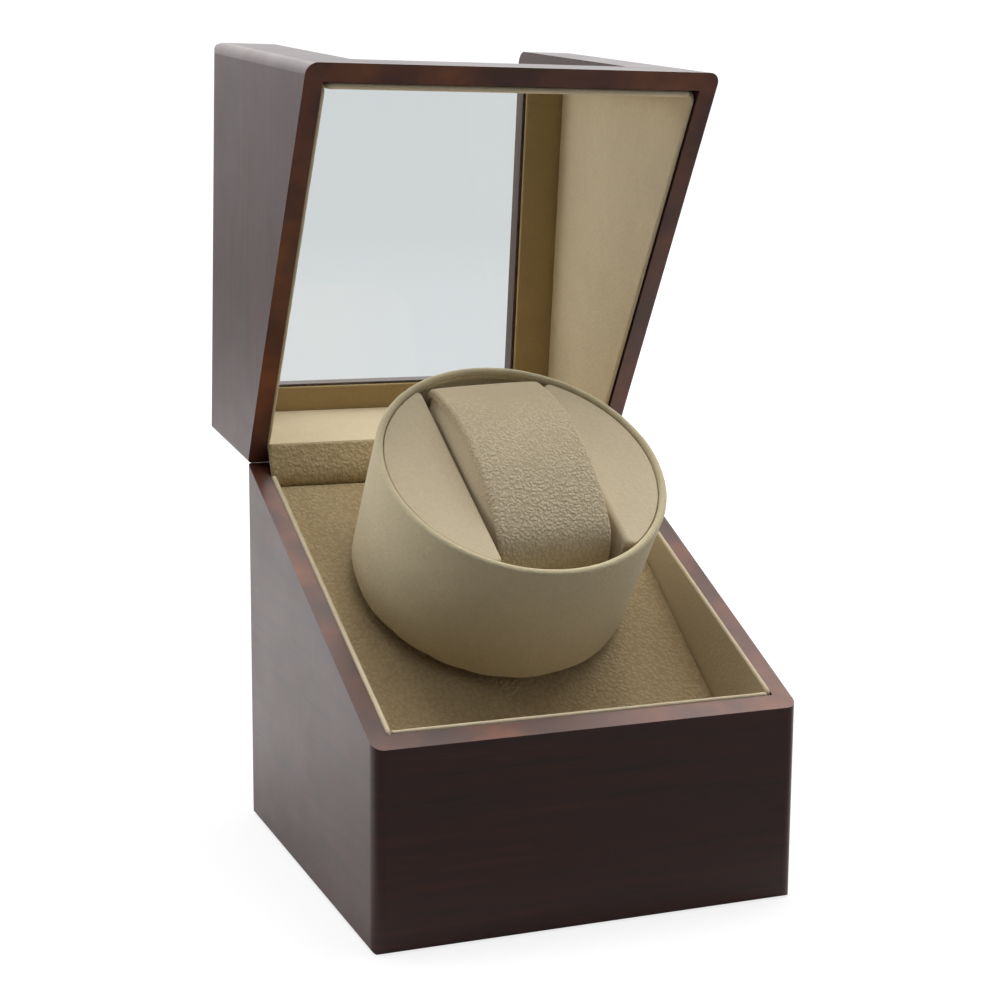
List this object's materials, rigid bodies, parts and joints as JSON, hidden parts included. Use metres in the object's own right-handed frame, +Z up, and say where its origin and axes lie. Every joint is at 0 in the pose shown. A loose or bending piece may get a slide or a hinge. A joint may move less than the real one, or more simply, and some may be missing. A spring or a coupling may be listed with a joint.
{
  "type": "watch winder",
  "caption": "Wooden winder box: a hinged lid with a clear bent window, and inside a tilted motor-driven cup that turns a removable padded watch cuff; switch, dial and DC inlet behind.",
  "frame": {"origin": "centre of the box footprint, on the plane that the felt base rests on", "axes": "+Z up, -Y towards the front where the case is lowest and opens, +X to the right as seen from the front; the rest pose has the lid open on its stop, the cuff seated and the switch off"},
  "size_m": [0.126, 0.1777, 0.2442],
  "materials": {
    "wood": "dark lacquered wood, semi-gloss",
    "suede_smooth": "smooth tan microsuede glued to board",
    "suede_coarse": "tan microsuede with a coarse nap",
    "acrylic": "clear acrylic sheet",
    "brass": "plated hinge brass",
    "steel": "zinc-plated steel",
    "gear_metal": "cast gearbox housing",
    "nylon": "natural nylon",
    "bronze": "sintered bronze",
    "felt": "black felt",
    "foam": "polyurethane foam",
    "black_plastic": "black moulded plastic",
    "pcb": "green circuit board"
  },
  "bodies": {
    "base": {"base_case": "wood", "bottom_panel": "wood", "bottom_screws": "steel", "wood_battens": "wood", "felt_base": "felt", "tray_floor": "suede_coarse", "tray_liner_left": "suede_coarse", "tray_liner_right": "suede_coarse", "tray_liner_front": "suede_coarse", "hinge_flap": "suede_coarse", "drive_plate": "steel", "plate_spacers": "steel", "plate_screws": "steel", "upper_bush": "bronze", "lower_bush": "bronze", "motor_gearbox": "gear_metal", "motor_can": "steel", "motor_screws": "steel", "control_board": "pcb", "board_standoffs": "nylon", "board_components": "black_plastic", "wiring": "black_plastic", "rear_plate": "black_plastic", "rear_plate_screws": "black_plastic", "dc_jack": "black_plastic", "jack_nut": "steel", "rocker_housing": "black_plastic", "mode_switch": "black_plastic", "hinge_leaves_base": "brass", "hinge_pins": "brass", "hinge_screws_base": "brass"},
    "lid": {"lid_case": "wood", "window_pane": "acrylic", "lid_liner_left": "suede_smooth", "lid_liner_right": "suede_smooth", "lid_liner_top": "suede_smooth", "lid_liner_front": "suede_smooth", "lid_liner_rear": "suede_smooth", "hinge_leaves_lid": "brass", "hinge_screws_lid": "brass"},
    "cup": {"cup_shell": "suede_smooth", "cup_base": "wood", "platform_left": "suede_smooth", "platform_right": "suede_smooth", "slot_wall_left": "suede_smooth", "slot_wall_right": "suede_smooth", "slot_floor": "suede_smooth", "cup_hub": "nylon", "hub_screws": "steel", "spindle": "steel", "spindle_retainers": "steel", "cup_gear": "nylon"},
    "cuff": {"cuff_band": "suede_coarse", "cuff_foam": "foam", "cuff_sides": "suede_smooth"},
    "drive": {"drive_pinion": "nylon", "output_shaft": "steel"},
    "rocker": {"rocker": "black_plastic"},
    "knob": {"mode_knob": "black_plastic", "mode_shaft": "black_plastic"}
  },
  "joints": [
    {"name": "lid_hinge", "type": "hinge", "parent": "base", "child": "lid", "pos_m": [0, 0.063, 0.114], "axis": [1, 0, 0], "range_deg": [0, 84.2], "deforming": ["hinge_flap"]},
    {"name": "cup_spin", "type": "hinge", "parent": "base", "child": "cup", "pos_m": [0, 0.01852, 0.08094], "axis": [0, -0.5807, 0.8141], "continuous": true},
    {"name": "pinion_spin", "type": "hinge", "parent": "base", "child": "drive", "pos_m": [0, -0.00102, 0.067], "axis": [0, -0.5807, 0.8141], "continuous": true},
    {"name": "cuff_lift", "type": "slide", "parent": "cup", "child": "cuff", "axis": [0, 0.5807, -0.8141], "range_m": [-0.05, 0]},
    {"name": "rocker_tilt", "type": "hinge", "parent": "base", "child": "rocker", "pos_m": [-0.019, 0.0603, 0.0258], "axis": [1, 0, 0], "range_deg": [0, 14]},
    {"name": "mode_turn", "type": "hinge", "parent": "base", "child": "knob", "pos_m": [0.019, 0.063, 0.0258], "axis": [0, 1, 0], "range_deg": [0, 135]}
  ],
  "couplings": [
    {"joint": "pinion_spin", "follows": "cup_spin", "ratio": -3}
  ]
}
